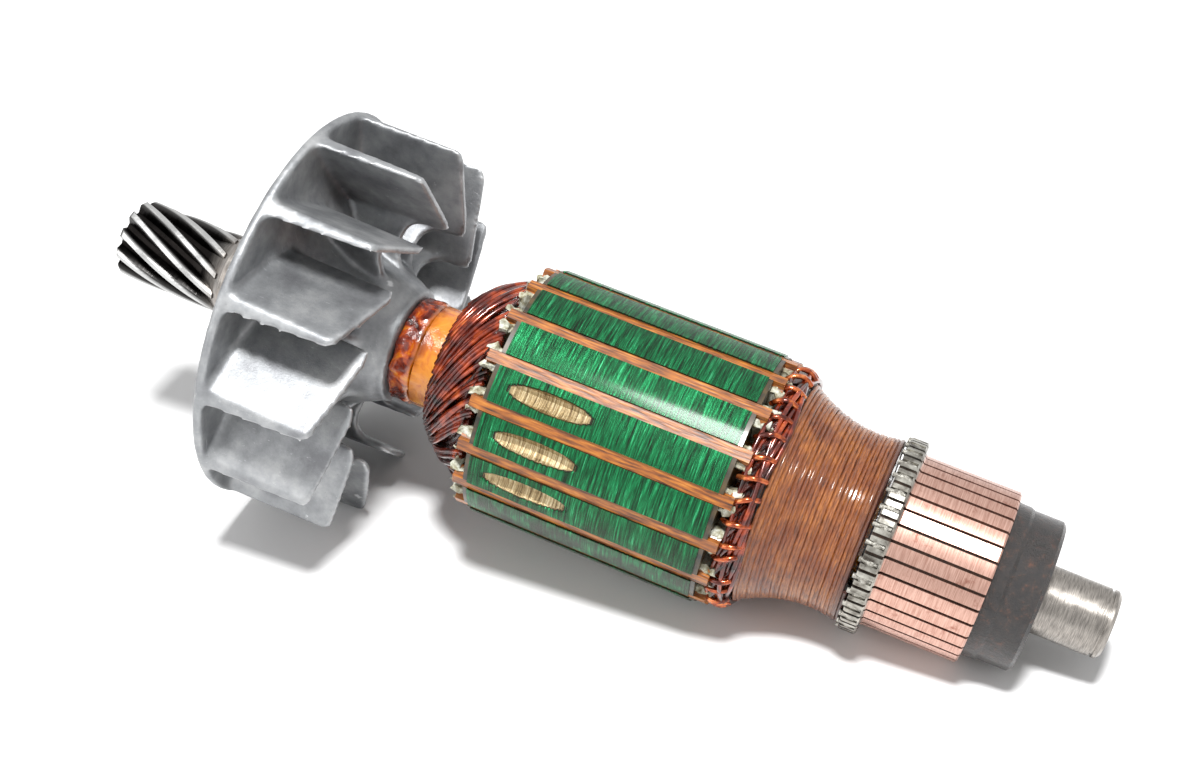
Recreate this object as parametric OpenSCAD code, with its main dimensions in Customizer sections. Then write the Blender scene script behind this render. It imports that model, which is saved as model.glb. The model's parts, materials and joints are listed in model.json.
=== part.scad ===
// Motor armature with a helical pinion, cooling fan, wound core and commutator.
// The armature lies at rest on two fan blade tips and the end of the commutator bars.

/* [Shaft] */
// Overall length of the shaft
shaft_len = 185.5; // [160:0.1:230]
// Diameter of the commutator-end bearing journal
journal_d = 12; // [8:0.1:15]
// Length of the commutator-end bearing journal
journal_len = 12.4; // [8:0.1:20]
// Diameter of the drive-end bearing seat
seat_d = 15; // [12:0.1:20]
// Diameter of the shaft under the spacer beside the fan
spacer_seat_d = 14.6; // [11:0.1:19]
// Length of the spacer beside the fan
spacer_len = 5.6; // [3:0.1:9]
// Diameter of the shaft under the fan hub
fan_seat_d = 14; // [11:0.1:18]
// Diameter of the shaft under the insulating sleeve
core_seat_d = 13.6; // [10:0.1:18]
// Diameter of the shaft under the commutator bush
bush_seat_d = 13.2; // [10:0.1:17]
// Distance of the retaining groove from the journal's end
groove_from_end = 1.2; // [0.9:0.1:5]
// Width of the retaining groove
groove_w = 0.6; // [0.4:0.1:2]
// Depth of the retaining groove
groove_depth = 0.35; // [0.2:0.05:1]
// Chamfer on the shaft's ends
shaft_chamfer = 0.6; // [0.2:0.1:2]

/* [Pinion] */
// Number of pinion teeth
pinion_teeth = 11; // [7:1:16]
// Tip diameter of the pinion
pinion_d = 14.8; // [10:0.1:20]
// Depth of a pinion tooth
tooth_depth = 1.9; // [1:0.1:3]
// Length of the cut teeth
pinion_len = 20; // [12:0.5:30]
// Length of the run-out where the gashes fade out
runout_len = 7; // [3:0.5:12]
// Turn of the right-hand teeth over one millimetre, in degrees
twist_per_mm = 3.7; // [0:0.1:5]

/* [Fan] */
// Number of fan blades
blades = 13; // [7:1:17]
// Diameter over the blade tips
fan_d = 71.6; // [55:0.2:90]
// Distance of the fan's back from the pinion end
fan_at = 33.5; // [28:0.1:45]
// Height of the fan from its back to the highest corner of a blade
fan_h = 23.4; // [15:0.1:30]
// Drop of a blade's free edge from its inner corner to its tip
blade_drop = 2.1; // [0:0.1:5]
// Thickness of a fan blade at its free edge
blade_t = 1.2; // [0.8:0.1:3]
// Thickness of a fan blade where it stands on the disc
blade_foot_t = 2.3; // [1.5:0.1:4]
// Radius of the cast fillet at a blade's foot
blade_fillet = 1.5; // [0.5:0.1:3]
// Lean of a blade from the radius, in degrees
blade_lean = 31.3; // [0:0.1:45]
// Radius of a blade's inner corner
blade_inner_r = 22.4; // [16:0.1:28]
// Thickness of the fan disc at its rim
fan_rim_t = 1.8; // [1:0.1:4]
// Height by which the disc's rim stands out past the blade tips
rim_lip = 0.4; // [0.2:0.1:2]
// Diameter of the fan hub
hub_d = 21; // [18:0.1:30]

/* [Core] */
// Number of winding slots
slots = 17; // [9:1:25]
// Diameter of the laminated core
core_d = 45.4; // [35:0.2:70]
// Length of the laminated core
core_len = 41.1; // [25:0.1:80]
// Distance of the core from the pinion end
core_at = 78.4; // [70:0.1:100]
// Width of a slot's mouth
mouth_w = 2.1; // [1.2:0.1:4]
// Thickness of the tooth lip beside the mouth
lip_t = 1.1; // [0.6:0.1:2]
// Width of a core tooth between two slots
tooth_w = 3.4; // [2:0.1:6]
// Radius of the slot's bottom
slot_bottom_r = 13.2; // [11:0.1:18]
// Thickness of the fibre plate on each end of the core
end_plate_t = 0.8; // [0.5:0.1:2]
// Thickness of the slot liner paper
liner_t = 0.3; // [0.2:0.05:0.6]
// Length by which the liner cuffs stand out of the core
cuff_len = 3.6; // [1:0.1:6]
// Length of a balance grind
grind_len = 16.4; // [8:0.1:25]
// Depth of a balance grind
grind_depth = 1.5; // [0.5:0.1:1.8]
// Distance of a balance grind from the core's fan end
grind_from = 2; // [0.5:0.1:10]

/* [Windings] */
// Length of the fan-end winding head
head_len = 13.2; // [8:0.1:20]
// Diameter of the insulating sleeve on the shaft
sleeve_d = 18.6; // [16:0.1:24]
// Diameter of the varnished collar beside the fan
collar_d = 19; // [16:0.1:24]
// Length of the varnished collar beside the fan
collar_len = 4.4; // [2:0.1:8]
// Number of wire bundles seen on the fan-end winding head
head_bundles = 34; // [17:1:51]
// Thickness of a wire bundle on the winding head
bundle_d = 2; // [1:0.1:3]
// Twist of the bundles from the core to the sleeve, in degrees
head_twist = 62; // [0:1:120]
// Number of turns of the binding cord
cord_turns = 24; // [12:1:40]
// Thickness of the binding cord
cord_d = 0.9; // [0.4:0.1:1.5]
// Thickness of the tape under the cord
tape_t = 0.3; // [0.1:0.05:0.6]
// Distance of the cord's first turn from the core
cord_from = 5.9; // [4:0.1:9]
// Radius of the cord at its narrowest
cord_waist_r = 15.9; // [13:0.1:20]
// Height by which the cord flares out towards the core
cord_flare = 4.5; // [1:0.1:8]
// Thickness of a tinned lead end
lead_d = 0.9; // [0.5:0.1:1.4]

/* [Commutator] */
// Number of commutator bars
bars = 34; // [17:1:50]
// Diameter over the commutator bars
bar_d = 30.5; // [24:0.1:45]
// Length of the brush track
bar_len = 17.1; // [10:0.1:30]
// Height by which the risers stand above the brush track
riser_h = 2.1; // [1:0.1:5]
// Length of the risers along the shaft
riser_len = 3.1; // [2:0.1:6]
// Gap between the core and the risers
riser_gap = 24.8; // [18:0.1:35]
// Thickness of the mica between two bars
mica_t = 0.5; // [0.3:0.05:1]
// Depth by which the mica lies under the bars
undercut = 0.7; // [0.3:0.1:1.5]
// Diameter of the moulded end ring
end_ring_d = 26.6; // [22:0.1:40]
// Length of the moulded end ring
end_ring_len = 8.6; // [4:0.1:15]
// Thickness of the steel bush inside the commutator
bush_t = 1.4; // [1:0.1:3]

/* [Hidden] */
$fn = 96;
// Sliding clearance between pieces that are assembled by hand
clear = 0.05;
core_end = core_at + core_len;
grind_at = core_at + grind_from;
riser_at = core_end + riser_gap;
track_at = riser_at + riser_len;
track_end = track_at + bar_len;
ring_end = track_end + end_ring_len;
bush_at = riser_at - 0.5;
riser_d = bar_d + 2 * riser_h;
journal_at = shaft_len - journal_len;
fan_top = fan_at + fan_h;
hub_top = fan_top - 0.7;
spacer_at = fan_at - spacer_len;
tip_top = fan_top - blade_drop;
slot_pitch = 360 / slots;
bar_pitch = 360 / bars;
blade_pitch = 360 / blades;
// Places along the shaft where the blade tips and the bars touch the floor
tip_round = 1.2;
bar_chamfer = 0.3;
tip_contact = tip_top - tip_round;
bar_contact = track_end - bar_chamfer;
// Thickness of a blade's tip where it touches the floor, and the angle that it covers
tip_t = blade_t + (blade_foot_t - blade_t) * (fan_top - tip_contact) / fan_h;
tip_arc = tip_t / cos(blade_lean) / (fan_d / 2) * 180 / PI;
// Lowest radius of the two blade tips that straddle the floor
tip_r = fan_d / 2 * cos((blade_pitch - tip_arc) / 2);
rest_tilt = atan((tip_r - bar_d / 2) / (bar_contact - tip_contact));
// Turn of the fan that puts two tips evenly over the floor
fan_turn = blade_pitch / 2;
// Turn of the first slot, which also lines up with a gap between two bars
slot_turn = 6.6;
mica_arc = mica_t / (bar_d / 2) * 180 / PI;
lip_r = core_d / 2 - lip_t;
shoulder_r = lip_r - 0.9;
// The cord's outside is a flare that is narrowest near the risers
cord_len = riser_gap - cord_from - 1.2;
cord_waist_at = riser_gap - 5.6;
separator_r = (slot_bottom_r + lip_r) / 2 + 0.4;
wedge_r = lip_r - 1.5;

// Puts a piece modelled up the z axis at its place on the lying shaft.
module lay() {
  translate([0, 0, bar_d / 2 * cos(rest_tilt) + (bar_contact - shaft_len / 2) * sin(rest_tilt)])
    rotate([0, rest_tilt, 0])
      translate([-shaft_len / 2, 0, 0])
        rotate([0, 90, 0])
          children();
}

// A straight round step of the shaft or of a ring.
module step_ring(d, from, to) {
  translate([0, 0, from])
    cylinder(d = d, h = to - from);
}

module tube(outer_d, inner_d, from, to) {
  difference() {
    step_ring(outer_d, from, to);
    step_ring(inner_d, from - 1, to + 1);
  }
}

// One end face of the toothed pinion, with straight-sided teeth and narrow crests.
module pinion_face() {
  tip = pinion_d / 2;
  root = tip - tooth_depth;
  pitch = 360 / pinion_teeth;
  circle(r = root, $fn = 5 * pinion_teeth);
  for (k = [0 : pinion_teeth - 1])
    rotate(k * pitch)
      polygon([
        for (p = [[root - 0.2, -0.36], [root, -0.36], [tip - 0.5, -0.2], [tip, -0.1],
                  [tip, 0.1], [tip - 0.5, 0.2], [root, 0.36], [root - 0.2, 0.36]])
          [p[0] * cos(p[1] * pitch), p[0] * sin(p[1] * pitch)]
      ]);
}

// The shaft is one forging: pinion, bearing seat, fan seat, core seat, bush seat and journal.
module shaft() {
  runout_at = pinion_len - runout_len;
  root_r = pinion_d / 2 - tooth_depth;
  color("SlateGray")
    lay()
      difference() {
        union() {
          intersection() {
            linear_extrude(height = pinion_len, twist = -twist_per_mm * pinion_len, slices = 22)
              pinion_face();
            rotate_extrude()
              polygon([[0, 0], [pinion_d / 2 - shaft_chamfer, 0], [pinion_d / 2 + 0.1, shaft_chamfer + 0.2],
                       [pinion_d / 2 + 0.1, pinion_len], [0, pinion_len]]);
          }
          rotate_extrude()
            polygon([[0, runout_at], [root_r - 0.2, runout_at], [root_r + 0.3, runout_at + runout_len / 2],
                     [root_r + 1, runout_at + runout_len * 0.8], [seat_d / 2, runout_at + runout_len + 1],
                     [seat_d / 2, spacer_at], [spacer_seat_d / 2, spacer_at], [spacer_seat_d / 2, fan_at],
                     [fan_seat_d / 2, fan_at], [fan_seat_d / 2, hub_top], [core_seat_d / 2, hub_top],
                     [core_seat_d / 2, bush_at], [bush_seat_d / 2, bush_at], [bush_seat_d / 2, journal_at],
                     [journal_d / 2, journal_at], [journal_d / 2, shaft_len - shaft_chamfer],
                     [journal_d / 2 - shaft_chamfer, shaft_len], [0, shaft_len]]);
        }
        // Retaining groove near the journal's end.
        tube(journal_d + 2, journal_d - 2 * groove_depth, shaft_len - groove_from_end - groove_w,
             shaft_len - groove_from_end);
        // Centre hole that the shaft was turned on.
        translate([0, 0, shaft_len - 2.4])
          cylinder(d1 = 0.8, d2 = 3.2, h = 2.5);
      }
}

// A flared steel spacer sits between the drive-end bearing and the fan.
module bearing_spacer() {
  color("SaddleBrown")
    lay()
      rotate_extrude()
        polygon([[spacer_seat_d / 2, spacer_at], [seat_d / 2 + 0.7, spacer_at],
                 [seat_d / 2 + 0.9, spacer_at + 1.6], [seat_d / 2 + 0.5, spacer_at + 2],
                 [seat_d / 2 + 0.6, fan_at - 2.6], [seat_d / 2 + 2.1, fan_at - 0.6],
                 [seat_d / 2 + 2.1, fan_at], [spacer_seat_d / 2, fan_at]]);
}

// The outline that the blades fill: free edges, inner corners and the low saddle round the hub.
module blade_envelope() {
  tip = fan_d / 2;
  inner = blade_inner_r;
  hub = hub_d / 2;
  rotate_extrude()
    polygon([[hub - 1, fan_at + 1], [tip, fan_at + 1], [tip, tip_contact], [tip - 0.4, tip_top - 0.35],
             [tip - 1.3, tip_top + 0.1], [inner + 1, fan_top], [inner + 0.1, fan_top - 0.3],
             [inner - 0.4, fan_top - 1.2], [inner - 0.6, fan_top - 5], [inner - 1.2, fan_top - 6.4],
             [inner - 2.1, fan_top - 7.3], [inner - 3.6, fan_top - 7.8], [hub + 6.5, fan_top - 7.8],
             [hub + 3.6, fan_top - 7], [hub + 1.8, fan_top - 5.4], [hub + 0.9, fan_top - 3.2],
             [hub - 1, fan_top - 2.4]]);
}

// A cast wall along +x, with fillets at its foot and draft up to its edge.
module drafted_wall(length) {
  foot = blade_foot_t / 2;
  rotate([90, 0, 90])
    linear_extrude(height = length)
      polygon([
        [-foot - blade_fillet, 0],
        for (a = [0 : 30 : 90])
          [-foot - blade_fillet * (1 - sin(a)), fan_rim_t + blade_fillet * (1 - cos(a))],
        [-blade_t / 2, fan_h], [-blade_t / 2, fan_h + 1], [blade_t / 2, fan_h + 1], [blade_t / 2, fan_h],
        for (a = [90 : -30 : 0])
          [foot + blade_fillet * (1 - sin(a)), fan_rim_t + blade_fillet * (1 - cos(a))],
        [foot + blade_fillet, 0]
      ]);
}

// One blade stands on the disc, leans from the radius and turns in to the hub at its root.
module blade() {
  tip = fan_d / 2;
  reach = tip * cos(blade_lean) - sqrt(pow(blade_inner_r, 2) - pow(tip * sin(blade_lean), 2));
  inner_turn = blade_lean - asin(tip * sin(blade_lean) / blade_inner_r);
  translate([tip, 0, 0])
    rotate(blade_lean)
      translate([-reach - 0.6, 0, 0])
        drafted_wall(reach + 4);
  // Low web that ties the blade's inner end to the hub.
  rotate(inner_turn)
    translate([hub_d / 2 - 1, 0, 0])
      drafted_wall(blade_inner_r - hub_d / 2 + 1);
}

// The fan is one aluminium casting: a dished disc, a hub and a ring of leaning blades.
module fan() {
  rim = fan_d / 2 + rim_lip;
  color("Silver")
    lay()
      difference() {
        union() {
          rotate_extrude()
            polygon([[0, fan_at], [rim - 0.5, fan_at], [rim, fan_at + 0.5], [rim, fan_at + fan_rim_t - 0.3],
                     [rim - 0.3, fan_at + fan_rim_t], [28, fan_at + 2.3], [22, fan_at + 4], [17.5, fan_at + 7],
                     [14.6, fan_at + 11.4], [12.6, fan_at + 17.4], [hub_d / 2 + 0.9, fan_top - 3],
                     [hub_d / 2 + 0.3, fan_top - 2.2], [hub_d / 2, hub_top],
                     [0, hub_top]]);
          for (k = [0 : blades - 1])
            rotate(fan_turn + k * blade_pitch)
              intersection() {
                blade_envelope();
                translate([0, 0, fan_at])
                  blade();
              }
        }
        step_ring(fan_seat_d, fan_at - 1, fan_top + 1);
        // Relief in the back of the disc, as cast.
        rotate_extrude()
          polygon([[11, fan_at - 1], [22, fan_at - 1], [20, fan_at + 1.6], [15.5, fan_at + 3.6],
                   [12.4, fan_at + 7], [11, fan_at + 7]]);
      }
}

// A varnished collar closes the gap between the fan hub and the sleeve.
module sleeve_collar() {
  color("OrangeRed")
    lay()
      rotate_extrude()
        polygon([[core_seat_d / 2, hub_top], [collar_d / 2 - 0.5, hub_top], [collar_d / 2, hub_top + 0.5],
                 [collar_d / 2, hub_top + collar_len - 0.4], [collar_d / 2 - 0.4, hub_top + collar_len],
                 [core_seat_d / 2, hub_top + collar_len]]);
}

// The insulating sleeve runs on the shaft from the collar through the core to the commutator.
module insulating_sleeve() {
  color("Orange")
    lay()
      tube(sleeve_d, core_seat_d, hub_top + collar_len, bush_at);
}

// The outline of one slot lying along +x, made smaller all round by an inset.
module slot_shape(inset) {
  wide = shoulder_r * sin(slot_pitch / 2) - tooth_w / 2 - inset;
  narrow = slot_bottom_r * sin(slot_pitch / 2) - tooth_w / 2 + 0.5 - inset;
  polygon([[slot_bottom_r + inset, -narrow + 0.4], [slot_bottom_r + inset + 0.5, -narrow],
           [shoulder_r - inset, -wide], [lip_r - inset, -mouth_w / 2], [lip_r - inset, mouth_w / 2],
           [shoulder_r - inset, wide], [slot_bottom_r + inset + 0.5, narrow],
           [slot_bottom_r + inset, narrow - 0.4]]);
}

// The face of one lamination, with its slots cut and their mouths open.
module lamination(outer_d) {
  difference() {
    circle(d = outer_d);
    circle(d = sleeve_d);
    for (k = [0 : slots - 1])
      rotate(slot_turn + k * slot_pitch) {
        slot_shape(0);
        translate([lip_r - 0.5, -mouth_w / 2])
          square([lip_t + 2, mouth_w]);
      }
  }
}

// The wheel that grinds a tooth for balance, at the depth where it has cut the full length.
module grinding_wheel() {
  wheel_r = (pow(grind_len / 2, 2) + pow(grind_depth, 2)) / (2 * grind_depth);
  translate([core_d / 2 - grind_depth + wheel_r, 0, grind_at + grind_len / 2])
    rotate([90, 0, 0])
      rotate_extrude()
        polygon([[0, -3], [wheel_r - 3.2, -3], [wheel_r - 0.5, -1.25], [wheel_r, -0.5],
                 [wheel_r, 0.5], [wheel_r - 0.5, 1.25], [wheel_r - 3.2, 3], [0, 3]]);
}

// The core is a bonded stack of steel laminations, with three teeth ground to balance it.
module core() {
  color("DarkGreen")
    lay()
      difference() {
        translate([0, 0, core_at])
          linear_extrude(height = core_len)
            lamination(core_d);
        for (k = [10 : 12])
          rotate(slot_turn + (k + 0.5) * slot_pitch)
            grinding_wheel();
      }
}

// A fibre plate insulates each end of the core.
module end_plate(from) {
  color("Peru")
    lay()
      translate([0, 0, from])
        linear_extrude(height = end_plate_t)
          lamination(core_d - 0.6);
}

module fan_end_plate() {
  end_plate(core_at - end_plate_t);
}

module commutator_end_plate() {
  end_plate(core_end);
}

// Every slot is lined with folded paper whose cuffs stand out at both ends.
module slot_liners() {
  color("BurlyWood")
    lay()
      for (k = [0 : slots - 1])
        rotate(slot_turn + k * slot_pitch)
          translate([0, 0, core_at - cuff_len])
            linear_extrude(height = core_len + 2 * cuff_len)
              difference() {
                slot_shape(0);
                slot_shape(liner_t);
                translate([lip_r - liner_t - 0.1, -mouth_w])
                  square([2, 2 * mouth_w]);
              }
}

// A band of the slot inside its liner, between two radii.
module slot_band(inner_r, outer_r) {
  intersection() {
    slot_shape(liner_t);
    translate([inner_r, -5])
      square([outer_r - inner_r, 10]);
  }
}

// One layer of enamelled wire in every slot.
module coil_sides(inner_r, outer_r) {
  color("FireBrick")
    lay()
      for (k = [0 : slots - 1])
        rotate(slot_turn + k * slot_pitch)
          translate([0, 0, core_at - cuff_len + 0.4])
            linear_extrude(height = core_len + 2 * cuff_len - 0.8)
              slot_band(inner_r, outer_r);
}

module lower_coil_sides() {
  coil_sides(0, separator_r - 0.15);
}

module upper_coil_sides() {
  coil_sides(separator_r + 0.15, wedge_r);
}

// A paper strip parts the two coil sides in each slot.
module slot_separators() {
  color("Wheat")
    lay()
      for (k = [0 : slots - 1])
        rotate(slot_turn + k * slot_pitch)
          translate([0, 0, core_at - cuff_len])
            linear_extrude(height = core_len + 2 * cuff_len)
              slot_band(separator_r - 0.15, separator_r + 0.15);
}

// A fibre wedge closes each slot and fills its mouth.
module slot_wedges() {
  color("Chocolate")
    lay()
      for (k = [0 : slots - 1])
        rotate(slot_turn + k * slot_pitch)
          translate([0, 0, core_at - cuff_len + 0.8])
            linear_extrude(height = core_len + 2 * cuff_len - 1.6) {
              slot_band(wedge_r, lip_r - 0.3);
              translate([wedge_r + 0.2, -mouth_w / 2 + clear])
                square([core_d / 2 - 0.6 - wedge_r, mouth_w - 2 * clear]);
            }
}

// A ring of wire bundles seen end-on, as a scalloped outline.
module bundle_ring(ring_r, count) {
  circle(r = ring_r - bundle_d / 2, $fn = 2 * count);
  for (k = [0 : count - 1])
    rotate(k * 360 / count)
      translate([ring_r - bundle_d / 2, 0])
        circle(d = bundle_d, $fn = 6);
}

// The fan-end winding head: wire bundles sweep round the sleeve and taper down to it.
module fan_end_winding() {
  wide_r = core_d / 2 - 3.2;
  narrow_r = sleeve_d / 2 + 3.1;
  bundle_len = head_len - cuff_len - 0.7;
  head_end = core_at - cuff_len - bundle_len;
  color("Maroon")
    lay()
      difference() {
        union() {
          translate([0, 0, core_at - cuff_len])
            mirror([0, 0, 1])
              linear_extrude(height = bundle_len, twist = -head_twist, scale = narrow_r / wide_r, slices = 9)
                bundle_ring(wide_r, head_bundles);
          rotate_extrude()
            polygon([[0, head_end + 0.5], [narrow_r - 0.8, head_end + 0.5], [narrow_r - 0.9, head_end],
                     [narrow_r - 1.6, head_end - 0.5], [sleeve_d / 2 + 0.3, head_end - 0.7],
                     [0, head_end - 0.7]]);
        }
        step_ring(sleeve_d, 0, core_end);
      }
}

// Radius of the binding cord's outside at a distance from the core.
function cord_r(s) = cord_waist_r + cord_flare * pow((cord_waist_at - s) / (cord_waist_at - cord_from), 2);

// The commutator-end winding head narrows under the cord to the leads that reach the risers.
module commutator_end_winding() {
  ring_r = core_d / 2 - 0.8;
  ring_len = cord_from - cuff_len + 0.4;
  color("Maroon")
    lay()
      difference() {
        union() {
          translate([0, 0, core_end + cuff_len])
            linear_extrude(height = ring_len, twist = 14, scale = 0.93, slices = 3)
              bundle_ring(ring_r, head_bundles);
          rotate_extrude()
            polygon([
              [0, core_end + cuff_len], [cord_r(cord_from + 0.8) - cord_d - tape_t, core_end + cuff_len],
              for (s = cord_steps)
                [cord_r(s) - cord_d - tape_t, core_end + s],
              [0, core_end + cord_steps[12]]
            ]);
        }
        step_ring(sleeve_d, core_end, riser_at);
      }
}

// Distances from the core at which the layers under the cord are drawn.
cord_steps = [for (i = [0 : 12]) cord_from + 0.8 + i * cord_len * 0.97 / 12];

// Cotton tape lies between the leads and the cord.
module lead_tape() {
  color("Tan")
    lay()
      rotate_extrude()
        polygon([
          for (s = cord_steps)
            [cord_r(s) - cord_d - tape_t, core_end + s],
          for (i = [12 : -1 : 0])
            [cord_r(cord_steps[i]) - cord_d, core_end + cord_steps[i]]
        ]);
}

// One long cord is wound side by side over the leads and soaked in varnish.
module binding_cord() {
  turn = cord_len * 0.97 / cord_turns;
  color("SaddleBrown")
    lay()
      rotate_extrude()
        polygon([
          for (i = [0 : cord_turns - 1])
            for (p = [[0.02, 0], [0.25, 1], [0.75, 1], [0.98, 0]])
              let (s = cord_from + 0.8 + (i + p[0]) * turn)
                [cord_r(s) - cord_d / 3 * (1 - p[1]), core_end + s],
          for (i = [12 : -1 : 0])
            [cord_r(cord_steps[i]) - cord_d, core_end + cord_steps[i]]
        ]);
}

// Tinned lead ends lie in the slits of the risers.
module lead_ends() {
  color("Silver")
    lay()
      for (k = [0 : bars - 1])
        rotate(slot_turn + (k + 0.5) * bar_pitch)
          translate([riser_d / 2 - lead_d * 0.7, 0, riser_at - 0.5])
            cylinder(d = lead_d, h = riser_len + 0.1);
}

// Side outline of one bar: riser, brush track and the dovetail that the moulding grips.
module bar_outline() {
  tail_r = 10.6;
  polygon([[tail_r + 1.9, riser_at], [riser_d / 2 - 0.2, riser_at], [riser_d / 2, riser_at + 0.3],
           [riser_d / 2, track_at - 0.3], [riser_d / 2 - 0.3, track_at], [bar_d / 2 + 0.4, track_at],
           [bar_d / 2, track_at + 0.4], [bar_d / 2, bar_contact], [bar_d / 2 - bar_chamfer, track_end],
           [tail_r + 2.4, track_end], [tail_r, track_end - 2.6], [tail_r, track_at + 1.4],
           [tail_r + 1.9, track_at - 1.2]]);
}

// Copper commutator bars, each with a slit riser for its leads.
module commutator_bars() {
  bar_arc = bar_pitch - mica_arc;
  color("Peru")
    lay()
      for (k = [0 : bars - 1])
        rotate(slot_turn + k * bar_pitch + mica_arc / 2)
          difference() {
            rotate_extrude(angle = bar_arc)
              bar_outline();
            rotate(bar_arc / 2)
              translate([riser_d / 2 - 1.5 * lead_d, -lead_d / 2, riser_at - 1])
                cube([2 * lead_d, lead_d, riser_len + 0.7]);
          }
}

// Mica strips insulate the bars and are undercut below the brush track.
module mica_segments() {
  color("Black")
    lay()
      for (k = [0 : bars - 1])
        rotate(slot_turn + k * bar_pitch - mica_arc / 2)
          rotate_extrude(angle = mica_arc)
            intersection() {
              bar_outline();
              union() {
                translate([0, riser_at])
                  square([riser_d / 2 - undercut, riser_len]);
                translate([0, riser_at])
                  square([bar_d / 2 - undercut, riser_len + bar_len]);
              }
            }
}

// The moulded body grips the bars' dovetails and ends in a plain ring.
module commutator_body() {
  bush_r = bush_seat_d / 2 + bush_t;
  color("DimGray")
    lay()
      difference() {
        rotate_extrude()
          polygon([[bush_r, riser_at], [bar_d / 2 - 1.2, riser_at], [bar_d / 2 - 1.2, track_end],
                   [end_ring_d / 2 + 0.4, track_end], [end_ring_d / 2 + 0.3, track_end + 2.4],
                   [end_ring_d / 2, track_end + 3], [end_ring_d / 2, ring_end - 0.6],
                   [end_ring_d / 2 - 0.6, ring_end], [bush_r, ring_end]]);
        rotate_extrude()
          bar_outline();
      }
}

// A steel bush inside the moulding is pressed on the shaft.
module commutator_bush() {
  color("Gray")
    lay()
      tube(bush_seat_d + 2 * bush_t, bush_seat_d, bush_at, ring_end - 0.5);
}

shaft();
bearing_spacer();
fan();
sleeve_collar();
insulating_sleeve();
core();
fan_end_plate();
commutator_end_plate();
slot_liners();
lower_coil_sides();
upper_coil_sides();
slot_separators();
slot_wedges();
fan_end_winding();
commutator_end_winding();
lead_tape();
binding_cord();
lead_ends();
commutator_bars();
mica_segments();
commutator_body();
commutator_bush();
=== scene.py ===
import json
import math
import random

import bpy
from mathutils import Matrix, Vector, noise


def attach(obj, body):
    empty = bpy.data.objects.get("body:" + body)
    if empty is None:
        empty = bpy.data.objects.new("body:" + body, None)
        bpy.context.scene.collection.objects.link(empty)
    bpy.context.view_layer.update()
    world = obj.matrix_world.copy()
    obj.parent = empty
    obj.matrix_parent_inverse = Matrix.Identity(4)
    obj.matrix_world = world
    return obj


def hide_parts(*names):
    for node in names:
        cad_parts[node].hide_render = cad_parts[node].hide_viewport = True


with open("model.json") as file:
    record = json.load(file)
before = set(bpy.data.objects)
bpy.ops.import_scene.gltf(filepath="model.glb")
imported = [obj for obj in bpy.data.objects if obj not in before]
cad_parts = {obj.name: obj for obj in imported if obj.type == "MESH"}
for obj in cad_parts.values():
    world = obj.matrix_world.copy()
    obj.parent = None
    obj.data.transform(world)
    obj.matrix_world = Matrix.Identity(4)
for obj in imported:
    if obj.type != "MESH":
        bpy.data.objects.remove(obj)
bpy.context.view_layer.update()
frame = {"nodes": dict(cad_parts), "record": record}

# Shaft. One steel forging with a hobbed helical pinion, ground bearing seats and a turned groove.
# The pinion is darker towards its tooth roots and worn bright at the tooth crests, and rust blooms beside the fan.
journal = next(m for m in frame["record"]["mounts"] if m["name"] == "commutator_journal")
JOURNAL_AT = 178.2  # millimetres from the pinion's end to the middle of the journal
axis = Vector(journal["axis"]).normalized()
upward = Vector((0, -1, 0)).cross(axis)
pinion_end = Vector(journal["pos_m"]) - axis * JOURNAL_AT * 0.001
lying = Matrix.Translation(pinion_end) @ Matrix((axis, (0, 1, 0), upward)).transposed().to_4x4() @ Matrix.Scale(0.001, 4)
dip = math.atan2(-axis.z, axis.x)
random.seed(7)


def linear(code):
    """The linear colour of an sRGB hex value."""
    parts = [int(code[i:i + 2], 16) / 255 for i in (0, 2, 4)]
    return [c / 12.92 if c < 0.04045 else ((c + 0.055) / 1.055) ** 2.4 for c in parts] + [1]


def add(tree, kind, inputs={}, stops=(), **settings):
    """Adds a shader node; inputs holds a value or a socket for each input, stops a ramp's colours."""
    made = tree.nodes.new("ShaderNode" + kind)
    for name, value in settings.items():
        setattr(made, name, value)
    for name, value in inputs.items():
        if isinstance(value, bpy.types.NodeSocket):
            tree.links.new(value, made.inputs[name])
        else:
            made.inputs[name].default_value = value
    for i, (place, code) in enumerate(stops):
        slot = made.color_ramp.elements[i] if i < 2 else made.color_ramp.elements.new(place)
        slot.position = place
        slot.color = linear(code)
    return made.outputs[0]


def finish_of(name, colour, roughness, metallic=0.0, coat=0.0):
    """Starts a material. Its place runs in millimetres along and across the lying shaft."""
    made = bpy.data.materials.new(name)
    made.use_nodes = True
    tree = made.node_tree
    shader = tree.nodes["Principled BSDF"]
    shader.inputs["Base Color"].default_value = linear(colour)
    shader.inputs["Roughness"].default_value = roughness
    shader.inputs["Metallic"].default_value = metallic
    shader.inputs["Coat Weight"].default_value = coat
    shader.inputs["Coat Roughness"].default_value = 0.12
    mapping = add(tree, "Mapping", {"Vector": tree.nodes.new("ShaderNodeTexCoord").outputs["Object"],
                                    "Location": pinion_end, "Rotation": (0, dip, 0),
                                    "Scale": (0.001, 0.001, 0.001)}, vector_type="TEXTURE")
    return made, tree, shader.inputs, mapping


def stretched(tree, place, scale):
    """The place squeezed or stretched along the shaft and across it."""
    return add(tree, "Mapping", {"Vector": place, "Scale": scale})


def distance_out(tree, place):
    """The distance from the shaft's centre line, in millimetres."""
    across = add(tree, "VectorMath", {0: place, 1: (0, 1, 1)}, operation="MULTIPLY")
    return add(tree, "VectorMath", {0: across}, operation="LENGTH").node.outputs["Value"]


def along(tree, place):
    """The distance from the pinion's end, in millimetres."""
    return add(tree, "SeparateXYZ", {"Vector": place}).node.outputs["X"]


def ramp_value(tree, value, low, high):
    """Rises from 0 to 1 as the value goes from low to high."""
    return add(tree, "MapRange", {"Value": value, "From Min": low, "From Max": high})


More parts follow.
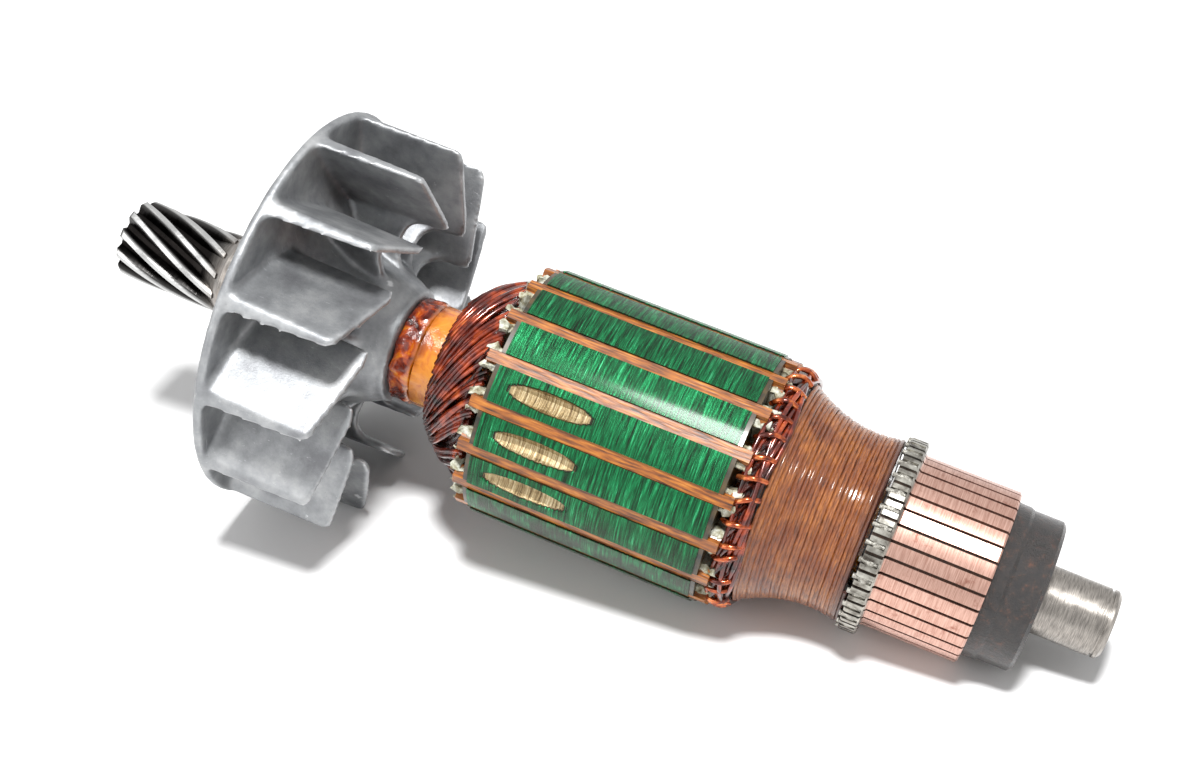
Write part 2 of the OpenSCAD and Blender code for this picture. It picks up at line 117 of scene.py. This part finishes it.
def dress(node, made):
    """Gives a CAD node its material."""
    mesh = frame["nodes"][node]
    mesh.data.materials.clear()
    mesh.data.materials.append(made)



steel, tree, socket, place = finish_of("ground_steel", "8a8a88", 0.28, 1.0)
grain = add(tree, "TexNoise", {"Vector": stretched(tree, place, (6, 0.5, 0.5)), "Scale": 1.0, "Detail": 6})
oil = add(tree, "TexNoise", {"Vector": place, "Scale": 0.35, "Detail": 5, "Roughness": 0.6})
crest = ramp_value(tree, distance_out(tree, place), 6.3, 7.3)
on_pinion = ramp_value(tree, along(tree, place), 22.0, 17.0)
near_fan = ramp_value(tree, along(tree, place), 19.0, 27.0)
past_fan = ramp_value(tree, along(tree, place), 60.0, 50.0)
base = add(tree, "ValToRGB", {"Fac": grain}, stops=[(0.3, "6e6a66"), (0.7, "a9a39c")])
# The colour runs darker towards the tooth roots and lighter at the crests.
toothed = add(tree, "ValToRGB", {"Fac": crest}, stops=[(0.0, "1c1a19"), (0.75, "4b4a49"), (1.0, "b9b9b8")])
base = add(tree, "MixRGB", {"Fac": on_pinion, "Color1": base, "Color2": toothed})
rust_mask = add(tree, "Math", {0: near_fan, 1: past_fan}, operation="MULTIPLY")
rust_mask = add(tree, "Math", {0: rust_mask, 1: ramp_value(tree, oil, 0.35, 0.6)}, operation="MULTIPLY")
base = add(tree, "MixRGB", {"Fac": rust_mask, "Color1": base, "Color2": linear("5a3a24")})
tree.links.new(base, socket["Base Color"])
rough = add(tree, "MapRange", {"Value": oil, "From Min": 0.3, "From Max": 0.7, "To Min": 0.2, "To Max": 0.45})
tree.links.new(rough, socket["Roughness"])
tree.links.new(add(tree, "Bump", {"Strength": 0.25, "Distance": 0.00005, "Height": grain}), socket["Normal"])
dress("shaft", steel)

# Bearing spacer. A turned and flared steel ring, pushed up against the fan.
# It has rusted dark brown where moist air is drawn past it.
rusty, tree, socket, place = finish_of("rusted_steel", "3a2417", 0.6, 0.6)
bloom = add(tree, "TexNoise", {"Vector": place, "Scale": 0.9, "Detail": 8, "Roughness": 0.7})
tree.links.new(add(tree, "ValToRGB", {"Fac": bloom}, stops=[(0.3, "1d1512"), (0.55, "4a2a18"), (0.75, "7a4a2c")]),
               socket["Base Color"])
tree.links.new(add(tree, "Bump", {"Strength": 0.5, "Distance": 0.0001, "Height": bloom}), socket["Normal"])
dress("bearing_spacer", rusty)

# Fan. One pressure casting in aluminium, pressed on the shaft, with soft edges as it leaves the die.
# The skin is matt grey with small pits and scuffs; painted shade darkens the corners and a painted highlight lightens
# the edges.
cast, tree, socket, place = finish_of("cast_aluminium", "8c8d8f", 0.5, 0.75)
grit = add(tree, "TexNoise", {"Vector": place, "Scale": 2.2, "Detail": 8, "Roughness": 0.7})
cloud = add(tree, "TexNoise", {"Vector": place, "Scale": 0.16, "Detail": 6, "Roughness": 0.6})
tone = add(tree, "ValToRGB", {"Fac": cloud}, stops=[(0.32, "77787b"), (0.5, "8f9193"), (0.68, "a9aaab")])
specks = add(tree, "ValToRGB", {"Fac": add(tree, "TexNoise", {"Vector": place, "Scale": 1.1, "Detail": 10,
                                                             "Roughness": 0.8})},
             stops=[(0.3, "4a4846"), (0.38, "ffffff")])
tone = add(tree, "MixRGB", {"Fac": 0.7, "Color1": tone, "Color2": specks}, blend_type="MULTIPLY")
scuffs = add(tree, "TexNoise", {"Vector": stretched(tree, place, (0.5, 2.6, 0.25)), "Scale": 0.8, "Detail": 9,
                                "Roughness": 0.75})
tone = add(tree, "MixRGB", {"Fac": ramp_value(tree, scuffs, 0.62, 0.7), "Color1": tone, "Color2": linear("c9cacc")})
# Pointiness paints shade into the hollow corners and a highlight along the sharp edges.
edge_highlight_and_corner_shade = add(tree, "NewGeometry").node.outputs["Pointiness"]
tone = add(tree, "MixRGB", {"Fac": ramp_value(tree, edge_highlight_and_corner_shade, 0.53, 0.6), "Color1": tone, "Color2": linear("c6c7c8")})
tone = add(tree, "MixRGB", {"Fac": ramp_value(tree, edge_highlight_and_corner_shade, 0.48, 0.42), "Color1": tone,
                            "Color2": linear("5e5f62")})
tree.links.new(tone, socket["Base Color"])
tree.links.new(add(tree, "MapRange", {"Value": grit, "To Min": 0.38, "To Max": 0.62}), socket["Roughness"])
tree.links.new(add(tree, "Bump", {"Strength": 0.4, "Distance": 0.00012, "Height": grit}), socket["Normal"])


def skin_of(node, name, made):
    """A merged copy of a CAD node's mesh, left selected as a piece that stands for the node."""
    bpy.ops.object.select_all(action="DESELECT")
    piece = bpy.data.objects.new(name, frame["nodes"][node].data.copy())
    bpy.context.collection.objects.link(piece)
    bpy.context.view_layer.objects.active = piece
    piece.select_set(True)
    bpy.ops.object.mode_set(mode="EDIT")
    bpy.ops.mesh.select_all(action="SELECT")
    bpy.ops.mesh.remove_doubles(threshold=0.000001)
    bpy.ops.object.mode_set(mode="OBJECT")
    piece.data.materials.clear()
    piece.data.materials.append(made)
    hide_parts(node)
    return piece


def apply_modifier(kind, **settings):
    """Adds a modifier to the active piece and applies it."""
    piece = bpy.context.object
    made = piece.modifiers.new(kind.lower(), kind)
    for name, value in settings.items():
        setattr(made, name, value)
    bpy.ops.object.modifier_apply(modifier=made.name)


def belongs(piece):
    """The piece rides on the armature."""
    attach(piece, "root")


fan = skin_of("fan", "cast_fan", cast)
apply_modifier("REMESH", mode="VOXEL", voxel_size=0.0005)
apply_modifier("SMOOTH", factor=0.5, iterations=4)
bpy.ops.object.shade_smooth()
belongs(fan)

# Collar and sleeve. Moulded insulation on the shaft, flooded with amber varnish at the fan end.
# The varnish has pooled dark red beside the hub, left pale bare patches, and run smooth by the windings.
amber, tree, socket, place = finish_of("amber_varnish", "c8700f", 0.22, coat=0.8)
pools = add(tree, "TexNoise", {"Vector": place, "Scale": 0.2, "Detail": 7, "Roughness": 0.62, "Distortion": 0.8})
flow = add(tree, "ValToRGB", {"Fac": pools},
           stops=[(0.4, "b4560a"), (0.52, "d07d12"), (0.66, "d98d1c")])
pooled = add(tree, "ValToRGB", {"Fac": pools},
             stops=[(0.4, "2e0a03"), (0.5, "6a1d06"), (0.58, "a5440a"), (0.66, "c27716"), (0.69, "d8c49a")])
by_fan = ramp_value(tree, along(tree, place), 62.2, 59.6)
flow = add(tree, "MixRGB", {"Fac": by_fan, "Color1": flow, "Color2": pooled})
tree.links.new(flow, socket["Base Color"])
tree.links.new(add(tree, "Bump", {"Strength": 0.6, "Distance": 0.0006, "Height": pools}), socket["Normal"])
dress("insulating_sleeve", amber)
collar = skin_of("sleeve_collar", "varnished_collar", amber)
apply_modifier("REMESH", mode="VOXEL", voxel_size=0.0004)
lumps = bpy.data.textures.new("varnish_lumps", "CLOUDS")
lumps.noise_scale = 0.0022
apply_modifier("DISPLACE", texture=lumps, strength=0.0009, mid_level=0.5)
bpy.ops.object.shade_smooth()
belongs(collar)

# Core. Thin steel laminations bonded in a stack and dipped in green insulating varnish.
# The lamination edges show as fine green lines with painted glints in the palest of them, the core darkens in blotches
# towards its bottom, and three teeth are ground bare.
green, tree, socket, place = finish_of("green_varnish", "0f5a38", 0.34, 0.75, coat=0.1)
edges = add(tree, "TexNoise", {"Vector": stretched(tree, place, (3.4, 0.16, 0.16)), "Scale": 1.0, "Detail": 6,
                               "Roughness": 0.75})
patch = add(tree, "TexNoise", {"Vector": place, "Scale": 0.22, "Detail": 6, "Roughness": 0.65})
# The palest stop of this ramp paints green glints into the lamination streaks.
tone = add(tree, "ValToRGB", {"Fac": edges}, stops=[(0.34, "021509"), (0.48, "0a4a28"), (0.6, "15804a"),
                                                    (0.74, "5fd39a")])
# Blotches darken the core towards its bottom.
low = ramp_value(tree, add(tree, "SeparateXYZ", {"Vector": place}).node.outputs["Z"], 8.0, -12.0)
darker_low_blotches = add(tree, "Math", {0: low, 1: ramp_value(tree, patch, 0.38, 0.6)}, operation="MULTIPLY")
tone = add(tree, "MixRGB", {"Fac": darker_low_blotches, "Color1": tone, "Color2": linear("1f1b10")})
ragged = add(tree, "MapRange", {"Value": edges, "From Min": 0.3, "From Max": 0.7, "To Min": -0.22, "To Max": 0.22})
depth = add(tree, "Math", {0: distance_out(tree, place), 1: ragged}, operation="ADD")
black_rim = ramp_value(tree, depth, 22.62, 22.5)
tone = add(tree, "MixRGB", {"Fac": black_rim, "Color1": tone, "Color2": linear("120d08")})
bare = add(tree, "ValToRGB", {"Fac": edges}, stops=[(0.36, "4a3722"), (0.5, "a8926a"), (0.64, "d8ccaa")])
tone = add(tree, "MixRGB", {"Fac": ramp_value(tree, depth, 22.42, 22.3), "Color1": tone, "Color2": bare})
tree.links.new(tone, socket["Base Color"])
tree.links.new(add(tree, "Bump", {"Strength": 0.9, "Distance": 0.00025, "Height": edges}), socket["Normal"])
dress("core", green)

# Liners and separators. Folded fish paper in each slot, crumpled where its cuffs stand out of the core.
# It is off-white and stained by the varnish.
paper, tree, socket, place = finish_of("insulating_paper", "b9ab8c", 0.7)
fibre = add(tree, "TexNoise", {"Vector": place, "Scale": 0.6, "Detail": 8, "Roughness": 0.7})
tree.links.new(add(tree, "ValToRGB", {"Fac": fibre}, stops=[(0.34, "4a3018"), (0.45, "8f8a70"), (0.6, "c9cbbd"),
                                                            (0.7, "dfe0d8")]), socket["Base Color"])
tree.links.new(add(tree, "Bump", {"Strength": 0.6, "Distance": 0.0003, "Height": fibre}), socket["Normal"])
dress("slot_separators", paper)
cuffs = skin_of("slot_liners", "paper_liners", paper)
bpy.ops.object.mode_set(mode="EDIT")
CORE_ENDS = (78.4, 119.5)
for x in (CORE_ENDS[0] - 2.4, CORE_ENDS[0] - 1.2, CORE_ENDS[0], CORE_ENDS[1], CORE_ENDS[1] + 1.2,
          CORE_ENDS[1] + 2.4):
    bpy.ops.mesh.select_all(action="SELECT")
    bpy.ops.mesh.bisect(plane_co=lying @ Vector((x, 0, 0)), plane_no=axis)
bpy.ops.object.mode_set(mode="OBJECT")
standing = lying.inverted()
outside = [(standing @ face.center).x for face in cuffs.data.polygons]
for face, x in zip(cuffs.data.polygons, outside):
    face.select = not CORE_ENDS[0] < x < CORE_ENDS[1]
bpy.ops.object.mode_set(mode="EDIT")
bpy.ops.mesh.subdivide(number_cuts=1)
bpy.ops.object.mode_set(mode="OBJECT")
for corner in cuffs.data.vertices:
    spot = standing @ corner.co
    proud = max(CORE_ENDS[0] - spot.x, spot.x - CORE_ENDS[1], 0)
    crumple = noise.noise_vector(spot * 0.9) * min(proud * 0.5, 1.1)
    corner.co = lying @ (spot + Vector((crumple.x * 0.8, crumple.y, crumple.z)))
belongs(cuffs)

# Wedges and end plates. Strips of varnished fibre close the slots, and a fibre plate faces each core end.
# The strips show ochre between thin dark edges, and the plates have soaked up dark varnish.
wedge, tree, socket, place = finish_of("varnished_fibre", "7a431a", 0.42, coat=0.25)
streaks = add(tree, "TexNoise", {"Vector": stretched(tree, place, (0.25, 2.2, 2.2)), "Scale": 1.0, "Detail": 6})
tree.links.new(add(tree, "ValToRGB", {"Fac": streaks}, stops=[(0.3, "331a0b"), (0.45, "7a431a"), (0.6, "a5621f"),
                                                              (0.75, "bd8038")]), socket["Base Color"])
tree.links.new(add(tree, "Bump", {"Strength": 0.4, "Distance": 0.0002, "Height": streaks}), socket["Normal"])
dress("slot_wedges", wedge)
plate, tree, socket, place = finish_of("varnished_board", "2c2a1a", 0.4, coat=0.3)
stains = add(tree, "TexNoise", {"Vector": place, "Scale": 0.5, "Detail": 6})
tree.links.new(add(tree, "ValToRGB", {"Fac": stains}, stops=[(0.35, "12140c"), (0.65, "4a3a1e")]),
               socket["Base Color"])
for node in ("fan_end_plate", "commutator_end_plate"):
    dress(node, plate)

# Windings. Copper wire with red-brown enamel sweeps round each head, flooded with dark varnish.
# The wires are drawn 1 mm thick, and the top of each catches an orange glint.
enamel, tree, socket, place = finish_of("enamelled_wire", "5a1a0c", 0.2, 0.35, coat=0.6)
tint = add(tree, "TexNoise", {"Vector": place, "Scale": 0.35, "Detail": 6})
tree.links.new(add(tree, "ValToRGB", {"Fac": tint}, stops=[(0.34, "1d0704"), (0.5, "5e1a0b"), (0.62, "9a3a14"),
                                                            (0.74, "c2622a")]), socket["Base Color"])
dark, tree, socket, place = finish_of("pooled_varnish", "260a06", 0.15, coat=0.8)
wet = add(tree, "TexNoise", {"Vector": place, "Scale": 0.9, "Detail": 6})
tree.links.new(add(tree, "ValToRGB", {"Fac": wet}, stops=[(0.4, "150503"), (0.65, "4a150a")]), socket["Base Color"])
tree.links.new(add(tree, "Bump", {"Strength": 0.8, "Distance": 0.0006, "Height": wet}), socket["Normal"])
for node in ("lower_coil_sides", "upper_coil_sides", "fan_end_winding", "commutator_end_winding"):
    dress(node, dark)


def wires(name, routes, thickness, made):
    """Lays one wire along each route of (distance from the pinion's end, radius, angle) points."""
    bpy.ops.object.select_all(action="DESELECT")
    bpy.ops.curve.primitive_nurbs_path_add(location=(0, 0, 0))
    strands = bpy.context.object
    strands.name = name
    strands.data.splines.clear()
    strands.data.resolution_u = 2
    strands.data.bevel_depth = thickness * 0.0005
    strands.data.bevel_resolution = 1
    strands.data.use_fill_caps = True
    for route in routes:
        strand = strands.data.splines.new("NURBS")
        strand.points.add(len(route) - 1)
        strand.use_endpoint_u = True
        for point, (x, r, turn) in zip(strand.points, route):
            point.co = (*(lying @ Vector((x, -r * math.cos(turn), r * math.sin(turn)))), 1)
    bpy.ops.object.convert(target="MESH")
    bpy.ops.object.shade_smooth()
    strands.data.materials.append(made)
    belongs(strands)


routes = []
for layer, count in ((0.0, 46), (0.45, 46), (0.95, 40)):
    for k in range(count):
        start = 2 * math.pi * (k + random.uniform(-0.35, 0.35)) / count
        sweep = random.uniform(0.95, 1.35)
        lift = layer + random.uniform(-0.15, 0.25)
        route = []
        for i in range(9):
            u = i / 8
            route.append((65.4 + 10.6 * u ** 1.15, 12.0 + 7.1 * u ** 0.9 + lift * math.sin(math.pi * (0.15 + 0.8 * u)),
                          start + sweep * (1 - (1 - u) ** 1.5)))
        routes.append(route)
wires("fan_end_wires", routes, 0.95, enamel)

crossings = []
for k in range(9):
    r = 20.9 + random.uniform(-0.6, 0.5)
    x = 122.4 + 0.42 * k
    crossings.append([(x + 0.5 * math.sin(5 * turn + k), r + 0.35 * math.sin(7 * turn + 2 * k), turn)
                      for turn in (2 * math.pi * i / 60 for i in range(61))])
wires("commutator_end_crossings", crossings, 0.9, enamel)
# The loops get a lighter, shinier copy of the enamel: a painted highlight on the same wire.
painted_lit_enamel, tree, socket, place = finish_of("painted_highlight_enamel", "b0501e", 0.2, 0.7, coat=0.5)
painted_highlight_tone = add(tree, "TexNoise", {"Vector": place, "Scale": 0.6, "Detail": 5})
tree.links.new(add(tree, "ValToRGB", {"Fac": painted_highlight_tone}, stops=[(0.38, "4a1408"), (0.52, "a8481a"), (0.66, "d98248")]),
               socket["Base Color"])
loops = []
for k in range(34):
    turn = 2 * math.pi * (k + random.uniform(-0.2, 0.2)) / 34
    skew = random.uniform(0.02, 0.09)
    rise = random.uniform(0.4, 1.0)
    loops.append([(121.3, 19.9, turn), (122.0, 21.1, turn), (123.3, 21.3 + rise * 0.6, turn + skew / 2),
                  (124.8, 21.2 + rise * 0.5, turn + skew), (125.9, 20.4, turn + skew)])
wires("commutator_end_loops", loops, 1.0, painted_lit_enamel)

# Binding cord and its tape. Cotton thread wound turn by turn over the leads and soaked in varnish.
# The thread is low in contrast and sparkles with many small points of varnish.
cotton, tree, socket, place = finish_of("varnished_cord", "7a4a22", 0.38, coat=0.5)
thread = add(tree, "TexNoise", {"Vector": stretched(tree, place, (3.2, 0.5, 0.5)), "Scale": 1.0, "Detail": 8,
                                "Roughness": 0.7})
blotch = add(tree, "TexNoise", {"Vector": place, "Scale": 0.18, "Detail": 5})
tone = add(tree, "ValToRGB", {"Fac": thread}, stops=[(0.32, "4f270d"), (0.5, "8a4c1c"), (0.68, "b5712f")])
shade = add(tree, "ValToRGB", {"Fac": blotch}, stops=[(0.35, "a86a4a"), (0.6, "ffffff")])
tone = add(tree, "MixRGB", {"Fac": 0.6, "Color1": tone, "Color2": shade}, blend_type="MULTIPLY")
by_risers = ramp_value(tree, along(tree, place), 141.4, 143.6)
tone = add(tree, "MixRGB", {"Fac": by_risers, "Color1": tone, "Color2": linear("3a1409")})
tree.links.new(tone, socket["Base Color"])
beads = add(tree, "TexNoise", {"Vector": place, "Scale": 2.4, "Detail": 6, "Roughness": 0.8})
tree.links.new(add(tree, "Bump", {"Strength": 0.9, "Distance": 0.0003, "Height": beads}), socket["Normal"])
dress("lead_tape", cotton)
cord_route = []
for i in range(24 * 40 + 1):
    turns = i / 40
    x = 126.2 + turns * 17.4 / 24
    flare = (138.7 - x) / 13.3
    cord_route.append((x + 0.12 * math.sin(turns * 9), 15.55 + 4.5 * flare * flare + 0.1 * math.sin(turns * 23),
                       2 * math.pi * turns))
wires("wound_cord", [cord_route], 0.85, cotton)
dress("binding_cord", cotton)

# Commutator. Hard-drawn copper bars with tinned risers, mica between them, gripped by a dark moulding.
# The track is turned smooth and has a pink copper shine, and the risers are dull with solder.
copper, tree, socket, place = finish_of("turned_copper", "b98a78", 0.3, 0.9)
turned = add(tree, "TexNoise", {"Vector": stretched(tree, place, (6.0, 0.3, 0.3)), "Scale": 1.0, "Detail": 6})
tone = add(tree, "ValToRGB", {"Fac": turned}, stops=[(0.3, "a87e70"), (0.7, "d2ac9d")])
stained = add(tree, "TexNoise", {"Vector": place, "Scale": 0.35, "Detail": 7, "Roughness": 0.7})
tone = add(tree, "MixRGB", {"Fac": ramp_value(tree, stained, 0.58, 0.72), "Color1": tone,
                            "Color2": linear("8a5242")})
soldered = add(tree, "ValToRGB", {"Fac": stained}, stops=[(0.35, "4c4640"), (0.5, "8d8a82"), (0.65, "b9b7ae")])
tinned = ramp_value(tree, distance_out(tree, place), 15.35, 15.6)
tone = add(tree, "MixRGB", {"Fac": tinned, "Color1": tone, "Color2": soldered})
tree.links.new(tone, socket["Base Color"])
tree.links.new(add(tree, "Bump", {"Strength": 0.35, "Distance": 0.00006, "Height": turned}), socket["Normal"])
dress("commutator_bars", copper)
mica, tree, socket, place = finish_of("pressed_mica", "2a1c14", 0.6)
flakes = add(tree, "TexNoise", {"Vector": place, "Scale": 1.5, "Detail": 6})
tree.links.new(add(tree, "ValToRGB", {"Fac": flakes}, stops=[(0.3, "140d0a"), (0.7, "4a3322")]), socket["Base Color"])
dress("mica_segments", mica)
solder, tree, socket, place = finish_of("tinned_wire", "9b9890", 0.45, 0.8)
dull = add(tree, "TexNoise", {"Vector": place, "Scale": 1.2, "Detail": 7, "Roughness": 0.7})
tree.links.new(add(tree, "ValToRGB", {"Fac": dull}, stops=[(0.35, "5a5650"), (0.5, "918e86"), (0.68, "c0beb6")]),
               socket["Base Color"])
tree.links.new(add(tree, "Bump", {"Strength": 0.8, "Distance": 0.0004, "Height": dull}), socket["Normal"])
dress("lead_ends", solder)
bpy.ops.object.select_all(action="DESELECT")
bpy.ops.mesh.primitive_ico_sphere_add(subdivisions=2, radius=1, location=(0, 0, 0))
blob = bpy.context.object
blob.data.materials.append(solder)
blobs = [blob]
for k in range(33):
    bpy.ops.object.duplicate(linked=False)
    blobs.append(bpy.context.object)
for k, blob in enumerate(blobs):
    turn = math.radians(270 - 6.6) - 2 * math.pi * (k + 0.5) / 34
    wide, long, high = (random.uniform(0.85, 1.15) for _ in range(3))
    for corner in blob.data.vertices:
        grown = corner.co * (1 + 0.35 * noise.noise(corner.co * 1.6 + Vector((k, 0, 0))))
        spot = Vector((145.75 + random.uniform(-0.05, 0.05) + 1.35 * long * grown.x, 0, 0))
        out = 16.55 + 0.75 * high * grown.z
        side = 1.15 * wide * grown.y
        across = Vector((0, -math.cos(turn), math.sin(turn))) * out
        spot += across + Vector((0, math.sin(turn), math.cos(turn))) * side
        corner.co = lying @ spot
for blob in blobs:
    blob.select_set(True)
bpy.context.view_layer.objects.active = blobs[0]
bpy.ops.object.join()
bpy.ops.object.shade_smooth()
blobs[0].name = "riser_solder"
belongs(blobs[0])
resin, tree, socket, place = finish_of("phenolic_moulding", "151212", 0.35, coat=0.3)
stain = add(tree, "TexNoise", {"Vector": place, "Scale": 0.7, "Detail": 9, "Roughness": 0.75})
tree.links.new(add(tree, "ValToRGB", {"Fac": stain}, stops=[(0.42, "0e0c0c"), (0.56, "221a17"), (0.68, "5a3422")]),
               socket["Base Color"])
tree.links.new(add(tree, "Bump", {"Strength": 1.0, "Distance": 0.0005, "Height": stain}), socket["Normal"])
dress("commutator_body", resin)
bush, tree, socket, place = finish_of("drawn_steel", "6e6e6e", 0.4, 1.0)
drawn = add(tree, "TexNoise", {"Vector": stretched(tree, place, (0.3, 3, 3)), "Scale": 1.0, "Detail": 4})
tree.links.new(add(tree, "ValToRGB", {"Fac": drawn}, stops=[(0.3, "555555"), (0.7, "808080")]), socket["Base Color"])
dress("commutator_bush", bush)

# Table top. A plain white plane that keeps the armature's shadow.
bpy.ops.object.select_all(action="DESELECT")
bpy.ops.mesh.primitive_plane_add(size=6, location=(0, 0, 0))
table = bpy.context.object
table.name = "table_top"
white = bpy.data.materials.new("white_card")
white.use_nodes = True
tree = white.node_tree
card = tree.nodes["Principled BSDF"]
card.inputs["Base Color"].default_value = linear("f4f4f4")
card.inputs["Roughness"].default_value = 0.9
table.data.materials.append(white)

# Studio light. One soft key almost overhead, a weaker fill from the front, a pale room.
world = bpy.data.worlds.new("pale_room")
bpy.context.scene.world = world
world.use_nodes = True
tree = world.node_tree
background = tree.nodes["Background"]
background.inputs["Color"].default_value = (1, 1, 1, 1)
light_path = tree.nodes.new("ShaderNodeLightPath")
seen = add(tree, "Math", {0: light_path.outputs["Is Camera Ray"], 1: light_path.outputs["Is Glossy Ray"]},
           operation="MAXIMUM")
tree.links.new(add(tree, "MapRange", {"Value": seen, "To Min": 0.42, "To Max": 1.0}), background.inputs["Strength"])
for name, spot, size, power in (("key", (0.08, -0.2, 0.75), 0.14, 9.0), ("fill", (-0.5, -0.6, 0.45), 0.6, 2.0)):
    bpy.ops.object.light_add(type="AREA", location=spot)
    lamp = bpy.context.object
    lamp.name = name
    lamp.data.shape = "DISK"
    lamp.data.size = size
    lamp.data.energy = power
    lamp.rotation_mode = "QUATERNION"
    lamp.rotation_quaternion = (Vector((0, 0, 0.03)) - Vector(spot)).to_track_quat("-Z", "Y")

# Camera. It looks down across the commutator end of the lying armature.
camera_data = bpy.data.cameras.new("camera")
camera = bpy.data.objects.new("camera", camera_data)
bpy.context.collection.objects.link(camera)
camera.location = (0.09562, -0.23612, 0.22680)
camera_data.lens = 55.55
camera_data.sensor_width = 36
camera.rotation_euler = (math.radians(90 - 37.096), 0, math.radians(21.946))
camera_data.clip_start = 0.01
bpy.context.scene.camera = camera
bpy.context.scene.view_settings.view_transform = "Standard"
